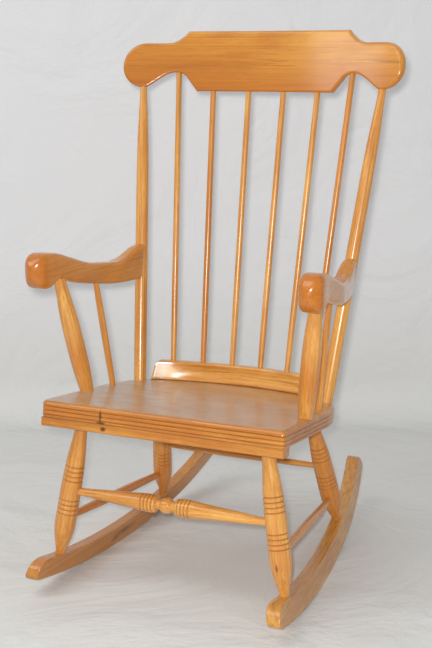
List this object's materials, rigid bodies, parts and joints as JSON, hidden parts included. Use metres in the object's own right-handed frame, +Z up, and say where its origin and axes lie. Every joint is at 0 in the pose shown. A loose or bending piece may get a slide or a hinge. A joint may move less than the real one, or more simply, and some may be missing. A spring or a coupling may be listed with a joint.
{
  "type": "boston rocking chair",
  "caption": "Wooden rocking chair with a plank seat, turned legs on curved rockers, a tall spindle back with a wide eared crest, and scrolled arms.",
  "frame": {"origin": "on the floor, under the middle of the chair's box", "axes": "+X to the right of someone facing the chair from its front, +Y from its front to its back, +Z up"},
  "size_m": [0.632, 0.7412, 1.088],
  "materials": {
    "amber_varnished_wood": "clear gloss varnish on turned hardwood",
    "russet_varnished_wood": "clear gloss varnish on sawn hardwood",
    "seat_varnished_wood": "clear gloss varnish on a planed plank",
    "runner_varnished_wood": "worn clear varnish on sawn hardwood"
  },
  "bodies": {
    "root": {"seat_plank": "seat_varnished_wood", "seat_front_strip": "seat_varnished_wood", "spindle_rail": "seat_varnished_wood", "crest_rail": "russet_varnished_wood", "back_post_left": "amber_varnished_wood", "back_post_right": "amber_varnished_wood", "back_spindle_1": "amber_varnished_wood", "back_spindle_2": "amber_varnished_wood", "back_spindle_3": "amber_varnished_wood", "back_spindle_4": "amber_varnished_wood", "back_spindle_5": "amber_varnished_wood", "back_spindle_6": "amber_varnished_wood", "arm_left": "russet_varnished_wood", "arm_right": "russet_varnished_wood", "arm_post_left": "amber_varnished_wood", "arm_post_right": "amber_varnished_wood", "arm_spindle_left": "amber_varnished_wood", "arm_spindle_right": "amber_varnished_wood", "front_leg_left": "amber_varnished_wood", "front_leg_right": "amber_varnished_wood", "rear_leg_left": "amber_varnished_wood", "rear_leg_right": "amber_varnished_wood", "front_stretcher": "amber_varnished_wood", "rear_stretcher": "amber_varnished_wood", "side_stretcher_left": "amber_varnished_wood", "side_stretcher_right": "amber_varnished_wood", "rocker_left": "runner_varnished_wood", "rocker_right": "runner_varnished_wood"}
  },
  "joints": []
}
